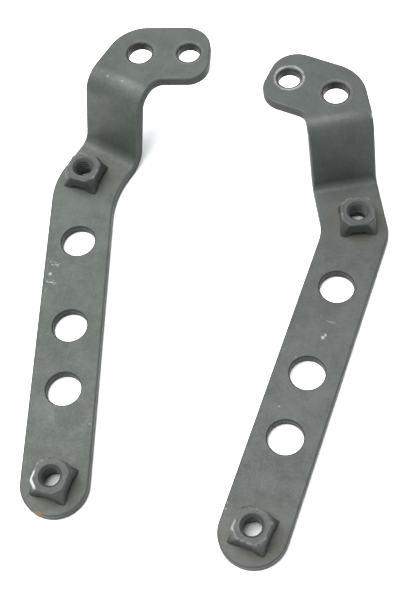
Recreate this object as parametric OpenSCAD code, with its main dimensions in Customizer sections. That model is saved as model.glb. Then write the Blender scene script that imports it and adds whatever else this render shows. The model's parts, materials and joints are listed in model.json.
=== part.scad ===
// Handed pair of dog-legged, offset flat-steel mounting brackets.
// Each bracket is one pressed strap with a raised hole tab, and carries two
// square projection weld nuts. The pair lies with both undersides on z = 0:
// +Y runs from the round ends to the tabs, +Z is up, and the origin is the
// middle of the pair's outline. The two are mirror images apart from what
// their bending left different, which is given as [left bracket, right bracket].

/* [Strap] */
// Width of the flat strap
strap_w = 25; // [16:0.5:50]
// Thickness of the steel
steel_t = 4.5; // [2:0.5:8]
// Length from the round end's centre to the dog-leg's corner
leg_l = 124; // [80:1:250]
// Angles by which the dog-legs turn inwards, left and right
dogleg_a = [30.6, 27.2]; // [1:0.1:45]
// Corner radii inside the dog-legs, left and right
inner_r = [37, 20]; // [2:1:45]
// Corner radii outside the dog-legs, left and right
outer_r = [30, 13]; // [2:1:50]

/* [Lightening holes] */
// Diameter of the three lightening holes
light_d = 13; // [6:0.5:20]
// Distances of the two lower holes from the round end's centre
light_y = [36, 62]; // [20:1:120]
// Distance of the upper hole from the dog-leg's corner
light_top = 25; // [16:1:60]

/* [Riser and tab] */
// Lengths from the dog-leg's corner to the first fold, left and right
foot_l = [15.8, 19.4]; // [8:0.1:40]
// Slope of the riser from level
riser_a = 74; // [45:1:90]
// Heights of the tabs above the straps, like face to like face, left and right
riser_h = [31.4, 28.4]; // [14:0.1:60]
// Inside radii of both folds, left and right
fold_r = [5.2, 3.5]; // [2:0.1:8]
// Angles between the fold line and the tab's middle line, left and right
tab_a = [28.5, 33]; // [0:0.1:45]
// Distances from the upper fold to the tab's near edge, where it leaves the
// dog-leg's inner edge, left and right
neck_h = [4.4, 2.3]; // [1:0.1:12]
// Width of the tab
tab_w = 25.8; // [18:0.2:40]
// Corner radius where the riser's outer edge meets the tab's far edge
tab_r_heel = 16.5; // [4:0.5:24]
// Corner radius at the free end, far side
tab_r_far = 10.5; // [3:0.5:12]
// Corner radius at the free end, near side
tab_r_near = 8.7; // [3:0.1:12]
// Fillet radius between the tab's near edge and the riser's inner edge
tab_r_neck = 6; // [2:1:12]

/* [Tab holes] */
// Diameter of the hole over the riser
hole_in_d = 9.5; // [5:0.5:14]
// Diameter of the hole near the free end
hole_out_d = 8.5; // [5:0.5:14]
// Distances of the inner holes along the tab from the fold line's middle
hole_at = [6, 4.3]; // [0:0.1:12]
// Distance between the two holes of a tab
hole_gap = 19.3; // [14:0.1:30]
// Distance from the outer hole to the tab's free end
tip_l = 8.5; // [6:0.5:16]
// Chamfer on the upper rim of both tab holes
hole_c = 0.6; // [0.2:0.1:1.5]

/* [Weld nuts] */
// Width across the flats of a nut, at its foot
nut_s = 13.4; // [9:0.1:22]
// Amount by which a nut is narrower across the flats at its top
nut_taper = 0.6; // [0.1:0.1:2]
// Height of a nut's body
nut_m = 6.2; // [4:0.1:12]
// Height of the welded feet under a nut
nut_foot = 0.8; // [0.5:0.1:2]
// Minor radius of the nut's thread
nut_bore_r = 3.4; // [2:0.1:6]
// Countersink of the thread's mouth
nut_csk = 0.9; // [0.3:0.1:2]
// Clearance round the thread's minor radius in the strap under a nut
nut_clear = 1.1; // [0.1:0.1:3]
// Turns of the lower nuts from the strap's axis, left and right
turn_low = [-17, 5]; // [-45:1:45]
// Turns of the upper nuts from the strap's axis, left and right
turn_up = [-19, -21]; // [-45:1:45]
// Place of the upper nut from the dog-leg's corner, across and along the strap
nut_up = [0.7, 5]; // [-5:0.1:5]

/* [Laying out] */
// Angle by which each bracket splays outwards
splay_a = 8.7; // [0:0.1:20]
// Distance between the two round ends' centres, across
pair_w = 72.6; // [40:0.1:150]
// Distance by which the right bracket lies further back
stagger = 6.4; // [0:0.1:20]

/* [Hidden] */
$fn = 64;
steel = [0.36, 0.38, 0.37];
nut_steel = [0.42, 0.44, 0.43];

left = 0;
right = 1;
half_w = strap_w / 2;
corner = [0, leg_l];
nut_spots = [[0, 0], corner + nut_up];
// Along the dog-leg, from the first fold to the flat of the tab
function bend_k(i) = 2 * fold_r[i] + steel_t;
function slope_l(i) = (riser_h[i] - bend_k(i) * (1 - cos(riser_a))) / sin(riser_a);
function tab_v(i) = foot_l[i] + bend_k(i) * sin(riser_a) + slope_l(i) * cos(riser_a);

// Unit vectors along and across the dog-leg, and along and across the tab
function leg_y(i) = [sin(dogleg_a[i]), cos(dogleg_a[i])];
function leg_x(i) = [cos(dogleg_a[i]), -sin(dogleg_a[i])];
function tab_x(i) = [cos(tab_a[i]), sin(tab_a[i])];
function tab_y(i) = [-sin(tab_a[i]), cos(tab_a[i])];
// Point on the dog-leg's plan, u across and v along from the corner
function leg_p(i, u, v) = corner + leg_x(i) * u + leg_y(i) * v;
// The same, with v counted from the end of the upper fold
function tab_p(i, q) = leg_p(i, q[0], tab_v(i) + q[1]);
// How far the tab's middle line lies off the fold line's middle
function tab_off(i) = tab_y(i) * [half_w, neck_h[i]] + half_tab;
// Point on the tab's plan: a along it from the fold line's middle, b off its
// middle line
function on_tab(i, a, b) = tab_p(i, tab_x(i) * a + tab_y(i) * (tab_off(i) + b));
// Where the dog-leg's edge at u meets the main strap's edge at x
function edge_p(i, x, u) = leg_p(i, u, (x - corner[0] - leg_x(i)[0] * u) / leg_y(i)[0]);
// Point with u across the dog-leg, on the tab's line b off its middle line
function on_edge(i, u, b) = [u, (tab_off(i) + b - u * tab_y(i)[0]) / tab_y(i)[1]];
function tab_end(i) = hole_at[i] + hole_gap + tip_l;
function unit(v) = v / norm(v);
// Half angle at corner b between a and c, the centre of the round of radius r
// that fits it, and the point where that round leaves the side towards a
function half_at(a, b, c) = acos(unit(a - b) * unit(c - b)) / 2;
function round_c(a, b, c, r) =
    b + unit(unit(a - b) + unit(c - b)) * (r / sin(half_at(a, b, c)));
function round_p(a, b, c, r) = b + unit(a - b) * (r / tan(half_at(a, b, c)));

half_tab = tab_w / 2;
// Corners of the tab: over the riser, and at the free end, far and near
function heel(i) = tab_p(i, on_edge(i, -half_w, half_tab));
function far_c(i) = on_tab(i, tab_end(i), half_tab);
function near_c(i) = on_tab(i, tab_end(i), -half_tab);
// How far a bracket's free corner reaches along +Y from its round end's centre
function reach(i) =
    round_c(heel(i), far_c(i), near_c(i), tab_r_far) * [sin(splay_a), cos(splay_a)]
    + tab_r_far;
// The pair's far and near limits, and the shift that centres them on y = 0
far_y = max(reach(left), reach(right) - stagger);
near_y = -max(0, stagger) - half_w;
mid_y = -(far_y + near_y) / 2;

// A length beyond all outlines, the spare past a cut corner, and the amount
// by which rounds run past tangency so that their edges cross cleanly
big = leg_l * 3;
lap = 1;
slip = 0.0005;

// What rounding the convex corner b to radius r takes away
module corner_cut(a, b, c, r) {
    difference() {
        polygon([round_p(a, b, c, r), b + lap * unit(unit(b - a) + unit(b - c)),
                 round_p(c, b, a, r)]);
        translate(round_c(a, b, c, r)) circle(r + slip);
    }
}

// What rounding the hollow corner b, drawn as its chord, takes away
module hollow_cut(a, b, c, r) {
    translate(round_c(a, b, c, r)) circle(r + slip);
}

// The steel's section along the dog-leg: flat, fold, slope, fold, flat
module section(i) {
    t = steel_t;
    r = fold_r[i];
    h = riser_h[i];
    k = tan(riser_a / 2);
    under_a = [foot_l[i] + (r + t) * k, 0];
    over_a = [foot_l[i] + r * k, t];
    under_b = [tab_v(i) - r * k, h];
    over_b = [tab_v(i) - (r + t) * k, h + t];
    near_e = [-big, 0];
    far_e = [big, h];
    up = [0, t];
    difference() {
        polygon([near_e, under_a, round_p(under_a, under_b, far_e, r),
                 round_p(far_e, under_b, under_a, r), far_e, far_e + up, over_b,
                 round_p(over_b, over_a, near_e + up, r),
                 round_p(near_e + up, over_a, over_b, r), near_e + up]);
        corner_cut(near_e, under_a, under_b, r + t);
        corner_cut(over_a, over_b, far_e + up, r + t);
        hollow_cut(under_a, under_b, far_e, r);
        hollow_cut(over_b, over_a, near_e + up, r);
    }
}

// Plan of the whole bracket seen from above
module bracket_plan(i) {
    end_l = [-half_w, 0];
    end_r = [half_w, 0];
    in_v = edge_p(i, half_w, half_w);
    out_v = edge_p(i, -half_w, -half_w);
    heel = heel(i);
    far_c = far_c(i);
    near_c = near_c(i);
    neck = tab_p(i, [half_w, neck_h[i]]);
    // The neck's fillet ends before the upper fold starts
    neck_r = min(tab_r_neck, neck_h[i] * tan(half_at(in_v, neck, near_c)));
    difference() {
        union() {
            circle(half_w);
            polygon([end_l, end_r, round_p(end_r, in_v, neck, inner_r[i]),
                     round_p(neck, in_v, end_r, inner_r[i]),
                     round_p(in_v, neck, near_c, neck_r),
                     round_p(near_c, neck, in_v, neck_r), near_c, far_c, heel, out_v]);
        }
        corner_cut(end_l, out_v, heel, outer_r[i]);
        corner_cut(out_v, heel, far_c, tab_r_heel);
        corner_cut(heel, far_c, near_c, tab_r_far);
        corner_cut(far_c, near_c, neck, tab_r_near);
        hollow_cut(end_r, in_v, neck, inner_r[i]);
        hollow_cut(in_v, neck, near_c, neck_r);
    }
}

// A hole through a tab with a chamfered upper rim, a along it from the fold
module tab_hole(i, a, d) {
    p = on_tab(i, a, 0);
    translate([p[0], p[1], riser_h[i]]) {
        translate([0, 0, -1]) cylinder(h = steel_t + 2, d = d);
        translate([0, 0, steel_t - hole_c])
            cylinder(h = hole_c * 2, r1 = d / 2, r2 = d / 2 + hole_c * 2);
    }
}

// A strap in the left-hand frame, round end's centre at the origin
module strap(i) {
    difference() {
        intersection() {
            translate([0, 0, -1]) linear_extrude(riser_h[i] + steel_t + 2) bracket_plan(i);
            translate(corner) rotate(-dogleg_a[i]) translate([-big, 0, 0])
                rotate([90, 0, 90]) linear_extrude(2 * big) section(i);
        }
        for (y = [light_y[0], light_y[1], leg_l - light_top])
            translate([0, y, -1]) cylinder(h = steel_t + 2, d = light_d);
        for (p = nut_spots)
            translate([p[0], p[1], -1]) cylinder(h = steel_t + 2, r = nut_bore_r + nut_clear);
        tab_hole(i, hole_at[i], hole_in_d);
        tab_hole(i, hole_at[i] + hole_gap, hole_out_d);
    }
}

// A square nut whose corners are cut more towards the top, on four welded feet
module weld_nut() {
    diag = nut_s / sqrt(2);
    foot_at = nut_s / 2 - nut_s * 0.15;
    difference() {
        union() {
            translate([0, 0, nut_foot]) intersection() {
                rotate(45) cylinder(h = nut_m, r1 = diag, r2 = diag - nut_taper / sqrt(2), $fn = 4);
                cylinder(h = nut_m, r1 = diag * 0.97 * sqrt(2), r2 = diag * 0.73 * sqrt(2), $fn = 4);
            }
            for (x = [-1, 1], y = [-1, 1])
                translate([x * foot_at, y * foot_at, 0])
                    cylinder(h = nut_foot + 0.5, r1 = nut_s * 0.17, r2 = nut_s * 0.13);
        }
        cylinder(h = nut_m * 3, r = nut_bore_r);
        translate([0, 0, nut_foot + nut_m - nut_csk])
            cylinder(h = nut_csk * 2, r1 = nut_bore_r, r2 = nut_bore_r + nut_csk * 2);
    }
}

module upper_nut(i) {
    p = nut_spots[1];
    translate([p[0], p[1], steel_t]) rotate(turn_up[i]) weld_nut();
}

module lower_nut(i) {
    translate([0, 0, steel_t]) rotate(turn_low[i]) weld_nut();
}

// Puts a left-hand shape in its place in the pair
module place(i) {
    if (i == left)
        translate([-pair_w / 2, mid_y, 0]) rotate(splay_a) children();
    else
        translate([pair_w / 2, mid_y - stagger, 0]) rotate(-splay_a)
            mirror([1, 0, 0]) children();
}

module left_strap() { color(steel) place(left) strap(left); }
module left_upper_weld_nut() { color(nut_steel) place(left) upper_nut(left); }
module left_lower_weld_nut() { color(nut_steel) place(left) lower_nut(left); }
module right_strap() { color(steel) place(right) strap(right); }
module right_upper_weld_nut() { color(nut_steel) place(right) upper_nut(right); }
module right_lower_weld_nut() { color(nut_steel) place(right) lower_nut(right); }

left_strap();
left_upper_weld_nut();
left_lower_weld_nut();
right_strap();
right_upper_weld_nut();
right_lower_weld_nut();
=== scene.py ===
import json
import math

import bmesh
import bpy
import numpy as np
from mathutils import Matrix, Vector


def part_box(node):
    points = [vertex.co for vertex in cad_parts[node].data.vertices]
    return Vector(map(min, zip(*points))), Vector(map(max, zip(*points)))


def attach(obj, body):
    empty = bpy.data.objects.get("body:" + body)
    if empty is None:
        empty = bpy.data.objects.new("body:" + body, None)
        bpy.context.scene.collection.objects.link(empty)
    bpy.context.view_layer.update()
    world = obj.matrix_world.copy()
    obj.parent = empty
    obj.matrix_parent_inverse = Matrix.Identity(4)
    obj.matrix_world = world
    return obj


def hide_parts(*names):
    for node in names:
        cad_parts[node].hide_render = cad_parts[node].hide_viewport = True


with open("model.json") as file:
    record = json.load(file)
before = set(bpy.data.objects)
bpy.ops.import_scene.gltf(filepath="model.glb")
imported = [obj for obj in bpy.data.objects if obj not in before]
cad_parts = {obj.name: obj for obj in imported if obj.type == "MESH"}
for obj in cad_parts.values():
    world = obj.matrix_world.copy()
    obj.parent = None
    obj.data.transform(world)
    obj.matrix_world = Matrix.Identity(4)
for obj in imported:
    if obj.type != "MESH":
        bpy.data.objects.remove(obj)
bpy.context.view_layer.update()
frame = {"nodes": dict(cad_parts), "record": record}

# Handed pair of flat-steel mounting brackets with square weld nuts.
# Metres throughout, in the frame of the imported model: undersides on z = 0, +Y
# towards the raised tabs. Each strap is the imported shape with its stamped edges
# rounded, and each nut is a surface worked out round its thread's axis.

mountsByName = {m["name"]: m for m in frame["record"]["mounts"]}
print("frame loaded:", len(frame["nodes"]), "nodes")


# Camera, floor and light
viewSetup = {
    "azimuth": 21.1,          # degrees from looking along +Y
    "elevation": 61.625,
    "roll": -11.605,
    "target": (0.0018, 0.0003, -0.00155),
    "distance": 0.45885,
    "lens": 71.97,            # millimetres
    "sensor": 36.0,
    "clipNear": 0.01,
    "clipFar": 50.0,
}

studio = {
    "floorSize": 12.0,
    "floorColour": (0.95, 0.95, 0.95),
    "floorRoughness": 0.9,
    "floorGloss": 0.1,
    "skyColour": (0.94, 0.97, 1.0),
    "skyStrength": 1.02,
    "keyPlace": (-0.46, 0.10, 1.45),
    "keySize": 1.45,
    "keyPower": 66.0,
}


# The camera stands at its distance from the target, then rolls about its own axis
def makeCamera(s):
    a, e, r = (math.radians(s[k]) for k in ("azimuth", "elevation", "roll"))
    back = Vector((math.sin(a) * math.cos(e), -math.cos(a) * math.cos(e), math.sin(e)))
    right = (-back).cross(Vector((0, 0, 1))).normalized()
    up = right.cross(-back)
    camX = right * math.cos(r) + up * math.sin(r)
    camY = up * math.cos(r) - right * math.sin(r)
    data = bpy.data.cameras.new("camera")
    data.lens = s["lens"]
    data.sensor_width = s["sensor"]
    data.clip_start = s["clipNear"]
    data.clip_end = s["clipFar"]
    cam = bpy.data.objects.new("camera", data)
    turn = Matrix((camX, camY, back)).transposed().to_4x4()
    place = Vector(s["target"]) + back * s["distance"]
    cam.matrix_world = Matrix.Translation(place) @ turn
    bpy.context.scene.collection.objects.link(cam)
    bpy.context.scene.camera = cam


def makeStudio(s):
    half = s["floorSize"] / 2
    mesh = bpy.data.meshes.new("floor")
    corners = [(-half, -half, 0), (half, -half, 0), (half, half, 0), (-half, half, 0)]
    mesh.from_pydata(corners, [], [(0, 1, 2, 3)])
    mat = bpy.data.materials.new("paleFloor")
    mat.use_nodes = True
    shader = mat.node_tree.nodes["Principled BSDF"]
    shader.inputs["Base Color"].default_value = (*s["floorColour"], 1)
    shader.inputs["Roughness"].default_value = s["floorRoughness"]
    shader.inputs["Specular IOR Level"].default_value = s["floorGloss"]
    mesh.materials.append(mat)
    floor = bpy.data.objects.new("floor", mesh)
    bpy.context.scene.collection.objects.link(floor)

    world = bpy.data.worlds.new("studioSky")
    world.use_nodes = True
    background = world.node_tree.nodes["Background"]
    background.inputs["Color"].default_value = (*s["skyColour"], 1)
    background.inputs["Strength"].default_value = s["skyStrength"]
    bpy.context.scene.world = world

    light = bpy.data.lights.new("keyLight", "AREA")
    light.size = s["keySize"]
    light.energy = s["keyPower"]
    key = bpy.data.objects.new("keyLight", light)
    place = Vector(s["keyPlace"])
    key.matrix_world = (Matrix.Translation(place)
                        @ place.to_track_quat("Z", "Y").to_matrix().to_4x4())
    bpy.context.scene.collection.objects.link(key)
    bpy.context.scene.view_settings.view_transform = "Standard"


makeCamera(viewSetup)
makeStudio(studio)
print("camera and studio made")


# Small helpers for materials. In feed, each socket gets either a number or a link,
# underscores stand for spaces, and i0, i1 and so on stand for a socket's place.
def addNode(tree, kind, **values):
    node = tree.nodes.new(kind)
    for name, value in values.items():
        setattr(node, name, value)
    return node


def feed(tree, node, **sockets):
    for name, value in sockets.items():
        byPlace = name[0] == "i" and name[1:].isdigit()
        socket = node.inputs[int(name[1:]) if byPlace else name.replace("_", " ")]
        if isinstance(value, bpy.types.NodeSocket):
            tree.links.new(value, socket)
        else:
            socket.default_value = value
    return node


def noise(tree, coords, scale, detail=3.0, rough=0.55, warp=0.0):
    node = addNode(tree, "ShaderNodeTexNoise")
    feed(tree, node, Vector=coords, Scale=scale, Detail=detail, Roughness=rough,
         Distortion=warp)
    return node.outputs["Fac"]


def maths(tree, operation, a, b=0.0, clamp=False):
    node = addNode(tree, "ShaderNodeMath", operation=operation, use_clamp=clamp)
    feed(tree, node, i0=a, i1=b)
    return node.outputs[0]


def ramp(tree, value, low, high, start=0.0, end=1.0):
    node = addNode(tree, "ShaderNodeMapRange", interpolation_type="SMOOTHSTEP")
    feed(tree, node, Value=value, From_Min=low, From_Max=high, To_Min=start, To_Max=end)
    return node.outputs["Result"]


def blend(tree, factor, a, b):
    node = addNode(tree, "ShaderNodeMix", data_type="RGBA")
    feed(tree, node, i0=factor)
    for socket, value in ((node.inputs[6], a), (node.inputs[7], b)):
        if isinstance(value, bpy.types.NodeSocket):
            tree.links.new(value, socket)
        else:
            socket.default_value = (*value, 1)
    return node.outputs[2]


# Distance from a place, after turning about Z and stretching the axes
def spotDistance(tree, coords, at, stretch=(1, 1, 1), turn=0.0):
    shifted = addNode(tree, "ShaderNodeVectorMath", operation="SUBTRACT")
    tree.links.new(coords, shifted.inputs[0])
    shifted.inputs[1].default_value = at
    turned = addNode(tree, "ShaderNodeMapping")
    tree.links.new(shifted.outputs[0], turned.inputs["Vector"])
    turned.inputs["Rotation"].default_value = (0, 0, math.radians(turn))
    stretched = addNode(tree, "ShaderNodeVectorMath", operation="MULTIPLY")
    tree.links.new(turned.outputs[0], stretched.inputs[0])
    stretched.inputs[1].default_value = stretch
    length = addNode(tree, "ShaderNodeVectorMath", operation="LENGTH")
    tree.links.new(stretched.outputs[0], length.inputs[0])
    return length.outputs["Value"]


# Steel finishes
strapFinish = {
    "dark": (0.0270, 0.0304, 0.0270),     # phosphate grey-green, in its darker clouds
    "light": (0.043, 0.0478, 0.043),
    "paintedShade": (0.007, 0.008, 0.007),        # painted shade in the holes, in the bores under the nuts and on the upright walls
    "speck": (0.11, 0.036, 0.028),        # reddish specks in the tab holes
    "cast": {"left": (0.97, 1.02, 0.95), "right": (0.88, 0.91, 0.94)},
    "edge": (0.055, 0.060, 0.056),        # rubbed edges
    "bareAndGlint": (0.21, 0.225, 0.22),          # bright steel
    # colour of chalk scuffs and other pale marks, and of the painted highlights on the
    # tabs
    "chalk": (0.21, 0.22, 0.205),
    "tint": (0.045, 0.040, 0.029),        # brown from the welding's heat
    "rust": (0.19, 0.062, 0.016),
    "metallic": 0.07,
    "gloss": 0.27,
    "roughness": (0.48, 0.60),            # in the lighter and the darker clouds
    "bumpDepth": 0.00006,
}

# Where shade is painted on the strap, where heat tinted it and where it is rubbed. A fade
# is the distances between which a mark goes from its full strength to none.
strapWearAndShade = {
    "fray": (900.0, 3.0, 0.7),            # noise that frays the borders of marks
    "frayReach": 0.0012,
    # painted shade in the bores under the nuts
    "underNutFade": (0.0050, 0.0056), "underNutStrength": 0.85,
    "heatFade": (0.008, 0.019), "heatDrift": 0.006,
    "boltRing": 0.0019,                   # where a bolt's head rubbed, past the rim
    "ringFade": (0.0004, 0.0013), "ringStrength": 0.85,
    # painted shade on the tab holes' walls, the lightening holes' walls and the upright
    # walls
    "tabWallFade": (0.0008, 0.0014), "tabWallStrength": 0.9,
    "lightenerFade": (0.0002, 0.0006), "lightenerStrength": 0.75,
    "uprightWalls": (0.06, 0.22), "uprightStrength": 0.88,
    "edgeRadius": 0.0006, "edgeRange": (0.02, 0.25), "edgeStrength": (0.10, 0.45),
}

# What lies on each strap, and the highlights painted on its tabs: kind, place, size, and
# where needed a turn and stretch
strapMarks = {
    "left": [
        ("chalk", (-0.0580, 0.0047, 0.0045), 0.0034, 20, (0.9, 2.0, 1)),
        ("chalk", (-0.0575, -0.0032, 0.0045), 0.0034, 12, (0.9, 2.4, 1)),
        ("chalk", (-0.0588, -0.0066, 0.0045), 0.0022, -8, (2.2, 0.9, 1)),
        ("worn", (-0.0586, 0.0002, 0.0045), 0.0010, 0, (1, 1, 1)),
        ("dot", (-0.0472, 0.0733, 0.0355), 0.0009, 0, (1, 1.4, 1)),
        ("dot", (-0.0409, 0.0715, 0.0356), 0.0007, 0, (1, 1, 1)),
        ("dot", (-0.0295, 0.0686, 0.0354), 0.0009, 0, (1, 1.2, 1)),
        ("dot", (-0.0286, -0.0582, 0.0045), 0.0005, 0, (1, 1, 1)),
        # a painted highlight on the left tab
        ("paintedHighlight", (-0.0385, 0.0712, 0.0352), 0.0090, 20, (0.8, 3.5, 1)),
        ("rust", (-0.0391, -0.0938, 0.0035), 0.0026, 13, (0.7, 1.6, 1)),
        ("ghost", (-0.0367, -0.0559, 0.0045), 0.0072, 0, (1, 1, 1)),
    ],
    "right": [
        ("scratch", (0.0512, -0.0053, 0.0045), 0.0028, 9.5, (0.9, 7.0, 1)),
        ("worn", (0.0491, -0.0121, 0.0045), 0.0012, 0, (1.3, 1.0, 1)),
        ("worn", (0.0500, -0.0109, 0.0045), 0.0008, 0, (1.3, 0.8, 1)),
        ("dot", (0.0376, -0.0412, 0.0045), 0.0006, 0, (1, 1, 1)),
        ("dot", (0.0406, -0.0212, 0.0045), 0.0005, 0, (1, 1, 1)),
        ("dot", (0.0256, -0.0816, 0.0045), 0.0006, 0, (1, 1, 1)),
        ("dot", (0.0258, -0.0793, 0.0045), 0.0006, 0, (1, 1, 1)),
        ("worn", (0.0566, 0.0694, 0.0320), 0.0018, -20, (1.3, 0.8, 1)),
        ("dot", (0.0482, 0.0673, 0.0329), 0.0005, 0, (1, 1, 1)),
        # a painted highlight along the right upper fold
        ("paintedHighlight", (0.0405, 0.0655, 0.0318), 0.0100, -18.5, (0.8, 4.5, 1)),
    ],
}

markStrength = {"dot": 0.35, "scratch": 0.30, "paintedHighlight": 0.11, "ghost": 0.05, "other": 0.8}
markFray = 0.9                            # as a share of a mark's size
ghostRing = {"radius": 1.4, "fade": (0.0002, 0.0012)}   # radius as a share of its size

threadMounts = {
    "left": ("left_upper_thread", "left_lower_thread"),
    "right": ("right_upper_thread", "right_lower_thread"),
}
tabHoles = {
    "left": (("left_tab_inner_hole", 0.07), ("left_tab_outer_hole", 0.10)),
    "right": (("right_tab_inner_hole", 0.14), ("right_tab_outer_hole", 0.95)),
}
heatTint = {"left": 0.25, "right": 0.75}

# The three large holes lie along each strap's axis from its lower thread
lighteners = {"along": (0.036, 0.062, 0.099), "radius": 0.0065}


def lighteningHoles(side):
    start, end = (Vector(mountsByName[side + name]["pos_m"])
                  for name in ("_underside", "_lower_thread"))
    axis = (start - end).to_2d().normalized()
    return [(end.x + axis.x * d, end.y + axis.y * d, 0.0) for d in lighteners["along"]]


# Steel's own look: soft clouds, fine crystals and faint rolling streaks. Each noise has
# its scale, detail and, where they aren't usual, its roughness and distortion.
steelGrain = {
    "cloud": (150.0, 4.0, 0.65, 0.3),
    "broad": (14.0, 2.0),
    "crystals": (1300.0, 3.0, 0.75),
    "streaks": (1.0, 3.0),
    "streakScale": (900, 45, 200),
    "shares": (0.40, 0.25, 0.40, 0.10),   # of the four noises, in this order
    "toneRange": (0.40, 0.75),
    "bumpStrength": 0.35,
    "bumpClouds": 0.8,
}


# The tone is the noises' weighted sum, and picks a colour between dark and light
def clouds(tree, coords, finish):
    g = steelGrain
    cloud = noise(tree, coords, *g["cloud"])
    broad = noise(tree, coords, *g["broad"])
    crystals = noise(tree, coords, *g["crystals"])
    streakCoords = addNode(tree, "ShaderNodeMapping")
    tree.links.new(coords, streakCoords.inputs["Vector"])
    streakCoords.inputs["Scale"].default_value = g["streakScale"]
    streaks = noise(tree, streakCoords.outputs[0], *g["streaks"])
    shared = [maths(tree, "MULTIPLY", grain, share)
              for grain, share in zip((cloud, broad, crystals, streaks), g["shares"])]
    total = shared[0]
    for part in shared[1:]:
        total = maths(tree, "ADD", total, part)
    tone = ramp(tree, total, *g["toneRange"])
    colour = blend(tree, tone, finish["dark"], finish["light"])
    return colour, tone, crystals, cloud


def steelMaterial(name, finish):
    mat = bpy.data.materials.new(name)
    mat.use_nodes = True
    tree = mat.node_tree
    shader = tree.nodes["Principled BSDF"]
    shader.inputs["Metallic"].default_value = finish["metallic"]
    shader.inputs["Specular IOR Level"].default_value = finish["gloss"]
    coords = addNode(tree, "ShaderNodeTexCoord").outputs["Object"]
    return mat, tree, shader, coords


def finishShader(tree, shader, colour, tone, crystals, cloud, finish):
    tree.links.new(colour, shader.inputs["Base Color"])
    low, high = finish["roughness"]
    tree.links.new(ramp(tree, tone, 0.0, 1.0, high, low), shader.inputs["Roughness"])
    height = maths(tree, "MULTIPLY", cloud, steelGrain["bumpClouds"])
    height = maths(tree, "ADD", crystals, height)
    bump = addNode(tree, "ShaderNodeBump")
    feed(tree, bump, Strength=steelGrain["bumpStrength"], Distance=finish["bumpDepth"],
         Height=height)
    tree.links.new(bump.outputs[0], shader.inputs["Normal"])


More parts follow.
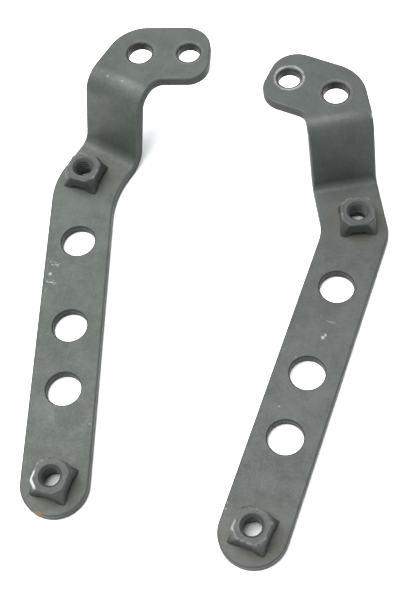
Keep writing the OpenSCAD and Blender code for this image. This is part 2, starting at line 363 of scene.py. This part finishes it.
# The strap's steel, then in turn painted shade in the bores under its nuts and their heat
# tint, the tab holes' rubbed rings and painted shade on their walls, painted shade on the
# lightening holes' walls, its own marks and painted highlights, painted shade on its
# upright walls and its rubbed edges
def strapMaterial(side):
    finish, wearAndPaintedLight = strapFinish, strapWearAndShade
    mat, tree, shader, coords = steelMaterial(side + "StrapPhosphate", finish)
    colour, tone, crystals, cloud = clouds(tree, coords, finish)
    cast = addNode(tree, "ShaderNodeVectorMath", operation="MULTIPLY")
    tree.links.new(colour, cast.inputs[0])
    cast.inputs[1].default_value = finish["cast"][side]
    colour = cast.outputs[0]
    ragged = noise(tree, coords, *wearAndPaintedLight["fray"])
    for mount in threadMounts[side]:
        # painted shade in the bore under the nut, then the heat tint round it
        under = spotDistance(tree, coords, mountsByName[mount]["pos_m"], (1, 1, 0))
        mask = ramp(tree, under, *wearAndPaintedLight["underNutFade"], wearAndPaintedLight["underNutStrength"], 0.0)
        colour = blend(tree, mask, colour, finish["paintedShade"])
        away = spotDistance(tree, coords, mountsByName[mount]["pos_m"])
        drift = maths(tree, "MULTIPLY", cloud, wearAndPaintedLight["heatDrift"])
        away = maths(tree, "ADD", away, drift)
        mask = ramp(tree, away, *wearAndPaintedLight["heatFade"], heatTint[side], 0.0)
        colour = blend(tree, mask, colour, finish["tint"])
    for mount, share in tabHoles[side]:
        hole = mountsByName[mount]
        away = spotDistance(tree, coords, hole["pos_m"])
        rim = hole["dims"]["r_mm"] / 1000
        off = maths(tree, "SUBTRACT", away, rim + wearAndPaintedLight["boltRing"])
        off = maths(tree, "ABSOLUTE", off)
        frayed = maths(tree, "MULTIPLY", ragged, wearAndPaintedLight["frayReach"])
        off = maths(tree, "ADD", off, frayed)
        mask = ramp(tree, off, *wearAndPaintedLight["ringFade"], share * wearAndPaintedLight["ringStrength"], 0.0)
        mask = maths(tree, "MULTIPLY", mask, ramp(tree, cloud, 0.30, 0.60, 0.55, 1.0))
        colour = blend(tree, mask, colour, finish["bareAndGlint"])
        # painted shade on the tab hole's wall, with reddish specks and bright crystals in
        # it
        reach = spotDistance(tree, coords, hole["pos_m"], (1, 1, 0))
        reach = maths(tree, "ADD", reach, frayed)
        low, high = wearAndPaintedLight["tabWallFade"]
        mask = ramp(tree, reach, rim + low, rim + high, wearAndPaintedLight["tabWallStrength"], 0.0)
        specks = ramp(tree, ragged, 0.55, 0.66)
        inside = blend(tree, specks, finish["paintedShade"], finish["speck"])
        inside = blend(tree, ramp(tree, crystals, 0.60, 0.70), inside, finish["bareAndGlint"])
        colour = blend(tree, mask, colour, inside)
    # painted shade on the lightening holes' walls
    for hole in lighteningHoles(side):
        reach = spotDistance(tree, coords, hole, (1, 1, 0))
        low, high = (lighteners["radius"] + d for d in wearAndPaintedLight["lightenerFade"])
        mask = ramp(tree, reach, low, high, wearAndPaintedLight["lightenerStrength"], 0.0)
        colour = blend(tree, mask, colour, finish["paintedShade"])
    for kind, at, size, turn, stretch in strapMarks[side]:
        away = spotDistance(tree, coords, at, stretch, turn)
        away = maths(tree, "ADD", away, maths(tree, "MULTIPLY", ragged, size * markFray))
        share = markStrength.get(kind, markStrength["other"])
        if kind == "ghost":
            away = maths(tree, "SUBTRACT", away, size * ghostRing["radius"])
            away = maths(tree, "ABSOLUTE", away)
            mask = ramp(tree, away, *ghostRing["fade"], share, 0.0)
        # a painted highlight, fading softly over its whole size
        elif kind == "paintedHighlight":
            mask = ramp(tree, away, size * 0.5, size * 1.5, share, 0.0)
        else:
            mask = ramp(tree, away, size * 0.7, size * 1.35, share, 0.0)
        if kind == "chalk":
            mask = maths(tree, "MULTIPLY", mask, ramp(tree, crystals, 0.50, 0.62))
        # rust gets its own colour; the other marks and the painted highlights get the
        # chalk colour
        paint = finish["rust"] if kind == "rust" else finish["chalk"]
        colour = blend(tree, mask, colour, paint)
    # painted shade on the upright walls, strongest where a face stands straight
    facing = addNode(tree, "ShaderNodeSeparateXYZ")
    surface = addNode(tree, "ShaderNodeNewGeometry")
    tree.links.new(surface.outputs["Normal"], facing.inputs[0])
    lean = maths(tree, "ABSOLUTE", facing.outputs["Z"])
    upright = ramp(tree, lean, *wearAndPaintedLight["uprightWalls"], wearAndPaintedLight["uprightStrength"], 0.0)
    colour = blend(tree, upright, colour, finish["paintedShade"])
    worn = maths(tree, "MULTIPLY", ramp(tree, edgeAmount(tree), *wearAndPaintedLight["edgeRange"]),
                 ramp(tree, ragged, 0.30, 0.70, *wearAndPaintedLight["edgeStrength"]))
    colour = blend(tree, worn, colour, finish["edge"])
    finishShader(tree, shader, colour, tone, crystals, cloud, finish)
    return mat


# How far the rounded normal differs from the true one: high only at edges
def edgeAmount(tree):
    rounded = addNode(tree, "ShaderNodeBevel", samples=4)
    rounded.inputs["Radius"].default_value = strapWearAndShade["edgeRadius"]
    true = addNode(tree, "ShaderNodeNewGeometry")
    dot = addNode(tree, "ShaderNodeVectorMath", operation="DOT_PRODUCT")
    tree.links.new(rounded.outputs[0], dot.inputs[0])
    tree.links.new(true.outputs["Normal"], dot.inputs[1])
    return maths(tree, "SUBTRACT", 1.0, dot.outputs["Value"], clamp=True)


# Straps
strapEdges = {
    "mergeGap": 0.00002,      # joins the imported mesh's loose triangles
    "flatAngle": 0.6,         # degrees, below which neighbouring faces become one
    "roundWidth": 0.0007,     # die-rolled edge
    "roundSteps": 3,
    "smoothAngle": 32.0,
}


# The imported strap's own shape, with its sharp edges rounded like a stamping's
def makeStrap(side):
    node = side + "_strap"
    mesh = frame["nodes"][node].data.copy()
    mesh.name = node + "_stamped"
    build = bmesh.new()
    build.from_mesh(mesh)
    bmesh.ops.remove_doubles(build, verts=build.verts, dist=strapEdges["mergeGap"])
    bmesh.ops.dissolve_limit(build, angle_limit=math.radians(strapEdges["flatAngle"]),
                             verts=build.verts, edges=build.edges)
    build.to_mesh(mesh)
    build.free()
    mesh.materials.clear()
    mesh.materials.append(strapMaterial(side))
    mesh.shade_smooth()
    mesh.set_sharp_from_angle(angle=math.radians(strapEdges["smoothAngle"]))
    piece = bpy.data.objects.new(node + "_stamped", mesh)
    bpy.context.scene.collection.objects.link(piece)
    rounding = piece.modifiers.new("dieRoll", "BEVEL")
    rounding.width = strapEdges["roundWidth"]
    rounding.segments = strapEdges["roundSteps"]
    rounding.limit_method = "ANGLE"
    rounding.angle_limit = math.radians(strapEdges["smoothAngle"])
    rounding.use_clamp_overlap = False
    rounding.harden_normals = True
    flats = piece.modifiers.new("flatNormals", "WEIGHTED_NORMAL")
    flats.keep_sharp = True
    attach(piece, side + "_bracket")
    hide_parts(node)


# Weld nuts
nutShape = {
    "acrossFlats": 0.0134,    # at the foot
    "taper": 0.0006,          # narrower by this much at the top
    "cornerFoot": 0.97,       # corner cut as a share of the half diagonal
    "cornerTop": 0.73,
    "cornerSharp": 60.0,      # higher joins flat and corner cut more crisply
    "height": 0.0070,
    "footGap": 0.0008,        # under the nut, round its bore
    "archHeight": 0.0019,     # under the middle of each side
    "edgeRound": 0.0006,
    "footSwell": 0.00045,     # the weld's bulge at each foot
    "swellHeight": 0.0012,
    "countersink": 0.0009,
    "threadPitch": 0.00125,
    "threadDepth": 0.00052,
    "topDip": 0.00006,        # between the top edge and the mouth of the bore
    "around": 200,            # points round the nut
    "smoothAngle": 38.0,
}

nutTurns = {                  # degrees about the thread's axis
    "left_upper": -10.3,
    "left_lower": -8.3,
    "right_upper": 12.3,
    "right_lower": -13.7,
}

nutFinish = {
    "dark": (0.0225, 0.0262, 0.0240),
    "light": (0.033, 0.0378, 0.0350),
    "edge": (0.080, 0.086, 0.083),
    "inside": (0.014, 0.016, 0.016),   # painted shade in the bore and countersink
    # painted highlight on the thread's crests
    "crest": (0.10, 0.108, 0.108),
    # the colour of the painted glints on the nuts' top edges
    "bareAndGlint": (0.42, 0.44, 0.43),
    "metallic": 0.07,
    "gloss": 0.27,
    "roughness": (0.46, 0.60),
    "bumpDepth": 0.00005,
    "fray": (700.0, 3.0, 0.7),
    "patches": (210.0, 2.0),
    "glintStretch": (1, 0.45, 0.8),
    "glintTurn": -20,
}

# Painted highlights (glints) on the nuts' top edges: place, size and strength
nutGlints = [
    ((-0.0422, -0.0838, 0.0112), 0.0021, 0.6),
    ((0.0293, -0.0879, 0.0112), 0.0017, 0.25),
]


# Nought up to low, one from high on, and three squares less two cubes in between
def smoothStep(x, low, high):
    t = np.clip((x - low) / (high - low), 0, 1)
    return t * t * (3 - 2 * t)


# Radius of the nut's side in each direction: the nearer of a tapering square's flat
# and a corner cut that deepens with height, joined softly
def nutOutline(theta, z, s):
    h = np.clip(z / s["height"], 0, 1)
    flat = (s["acrossFlats"] - s["taper"] * h) / 2
    diagonal = s["acrossFlats"] / math.sqrt(2)
    cut = diagonal * (s["cornerFoot"] + (s["cornerTop"] - s["cornerFoot"]) * h)
    c, d = np.abs(np.cos(theta)), np.abs(np.sin(theta))
    toFlat = flat / np.maximum(c, d)
    toCut = cut * math.sqrt(2) / (c + d)
    sharp = s["cornerSharp"]
    return (toFlat ** -sharp + toCut ** -sharp) ** (-1 / sharp)


# A closed profile carried round the thread's axis. Going along the profile: out under
# the nut, up its side, over its top, down the countersink and down the thread, whose
# radius swings with height less a turn's share, which is a helix.
def nutSurface(s, bore):
    theta = np.linspace(0, 2 * math.pi, s["around"], endpoint=False)[:, None]
    top = s["height"]
    corner = smoothStep(np.abs(np.sin(2 * theta)), 0.62, 0.97)

    # Arched between the corners, and down to the strap at them
    def underside(u):
        arch = s["footGap"] + (s["archHeight"] - s["footGap"]) * smoothStep(u, 0.45, 1)
        return arch * (1 - corner * smoothStep(u, 0.40, 0.78))

    under = np.linspace(0, 1, 12)[None, 1:-1]
    underZ = underside(under)
    underR = bore * (1 - under) + nutOutline(theta, underZ, s) * under

    side = np.linspace(0, 1, 16)[None, :]
    footZ = underside(np.array([[1.0]]))
    sideZ = footZ + (top - s["edgeRound"] - footZ) * side
    swell = s["footSwell"] * corner * np.exp(-(sideZ / s["swellHeight"]) ** 2)
    sideR = nutOutline(theta, sideZ, s) + swell

    arc = np.linspace(0, math.pi / 2, 6)[None, 1:]
    arcZ = top - s["edgeRound"] * (1 - np.sin(arc)) + 0 * theta
    arcR = nutOutline(theta, arcZ, s) - s["edgeRound"] * (1 - np.cos(arc))

    mouth = bore + s["countersink"]
    across = np.linspace(0, 1, 7)[None, 1:]
    edge = arcR[:, -1:]
    topR = edge * (1 - across) + mouth * across
    topZ = top - s["topDip"] * np.sin(math.pi * across) + 0 * theta

    sink = np.linspace(0, 1, 5)[None, 1:]
    sinkR = mouth - s["countersink"] * sink + 0 * theta
    sinkZ = top - s["countersink"] * sink + 0 * theta

    low = s["footGap"]
    high = top - s["countersink"]
    down = np.linspace(0, 1, 56)[None, 1:]
    boreZ = high + (low - high) * down + 0 * theta
    phase = boreZ / s["threadPitch"] - theta / (2 * math.pi)
    wave = 1 - np.abs(2 * (phase - np.floor(phase)) - 1)
    fade = smoothStep(down, 0, 0.06) * smoothStep(1 - down, 0, 0.06)
    boreR = bore + s["threadDepth"] * smoothStep(wave, 0.12, 0.88) * fade

    parts = [(underR, underZ, 0), (sideR, sideZ, 1), (arcR, arcZ, 2), (topR, topZ, 3),
             (sinkR, sinkZ, 4), (boreR, boreZ, 5)]
    radius = np.concatenate([p[0] + 0 * theta for p in parts], axis=1)
    height = np.concatenate([p[1] + 0 * theta for p in parts], axis=1)
    zone = np.concatenate([np.full(p[0].shape, p[2]) for p in parts], axis=1)
    return theta, radius, height, zone


# Quads of a grid that closes on itself both ways
def gridFaces(around, along):
    i, j = np.meshgrid(np.arange(around), np.arange(along), indexing="ij")
    i2, j2 = (i + 1) % around, (j + 1) % along
    quads = np.stack([i * along + j, i2 * along + j, i2 * along + j2, i * along + j2], -1)
    return quads.reshape(-1, 4)


# The nut's steel, with painted shade in its bore and countersink, a painted highlight on
# the thread's crests, rubbed at its top edge, and painted glints on parts of that edge
def nutMaterial():
    finish = nutFinish
    mat, tree, shader, coords = steelMaterial("nutPhosphate", finish)
    colour, tone, crystals, cloud = clouds(tree, coords, finish)
    wearAndPaintedLight = addNode(tree, "ShaderNodeAttribute", attribute_name="wearAndPaintedLight").outputs["Fac"]
    inner = addNode(tree, "ShaderNodeAttribute", attribute_name="inner").outputs["Fac"]
    ragged = noise(tree, coords, *finish["fray"])
    patchy = noise(tree, coords, *finish["patches"])
    rubbed = maths(tree, "MULTIPLY", wearAndPaintedLight, ramp(tree, ragged, 0.38, 0.60))
    rubbed = maths(tree, "MULTIPLY", rubbed, ramp(tree, patchy, 0.40, 0.62))
    crest = addNode(tree, "ShaderNodeAttribute", attribute_name="crest").outputs["Fac"]
    # painted shade in the bore and countersink, painted highlight on the thread's crests
    colour = blend(tree, inner, colour, finish["inside"])
    colour = blend(tree, ramp(tree, crest, 0.55, 0.95), colour, finish["crest"])
    colour = blend(tree, rubbed, colour, finish["edge"])
    # painted glints where the top edge catches the light
    for at, size, share in nutGlints:
        away = spotDistance(tree, coords, at, finish["glintStretch"], finish["glintTurn"])
        glint = ramp(tree, away, size * 0.6, size, share, 0.0)
        mask = maths(tree, "MULTIPLY", wearAndPaintedLight, glint)
        colour = blend(tree, mask, colour, finish["bareAndGlint"])
    finishShader(tree, shader, colour, tone, crystals, cloud, finish)
    return mat


# Points of the nut's surface turned about its thread's axis and set on its strap
def makeNut(name, mat):
    side, level = name.split("_")
    node = name + "_weld_nut"
    mount = mountsByName[name + "_thread"]
    bore = mount["dims"]["r_mm"] / 1000
    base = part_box(node)[0].z
    theta, radius, height, zone = nutSurface(nutShape, bore)
    angle = theta + math.radians(nutTurns[name])
    points = np.stack([mount["pos_m"][0] + radius * np.cos(angle),
                       mount["pos_m"][1] + radius * np.sin(angle),
                       base + height], -1).reshape(-1, 3)
    faces = gridFaces(*radius.shape)
    a, b, c = (points[faces[:, k]] - points.mean(0) for k in (0, 1, 2))
    if np.einsum("ij,ij->i", a, np.cross(b, c)).sum() < 0:
        faces = faces[:, ::-1]
    mesh = bpy.data.meshes.new(node + "_formed")
    mesh.from_pydata(points.tolist(), [], faces.tolist())
    # where the bore's painted shade, the crests' painted highlight and the top edge's
    # rubbing and painted glints go
    crest = np.where(zone == 5, 1 - (radius - bore) / nutShape["threadDepth"], 0)
    for title, values in (("wearAndPaintedLight", (zone == 2) * 1.0), ("inner", (zone >= 4.5) * 1.0),
                          ("crest", crest)):
        layer = mesh.attributes.new(title, "FLOAT", "POINT")
        layer.data.foreach_set("value", values.ravel().astype(np.float32))
    mesh.materials.append(mat)
    mesh.shade_smooth()
    mesh.set_sharp_from_angle(angle=math.radians(nutShape["smoothAngle"]))
    piece = bpy.data.objects.new(node + "_formed", mesh)
    bpy.context.scene.collection.objects.link(piece)
    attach(piece, side + "_bracket")
    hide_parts(node)


for side in ("left", "right"):
    makeStrap(side)
print("straps made")

nutSteel = nutMaterial()
for name in nutTurns:
    makeNut(name, nutSteel)
print("weld nuts made")
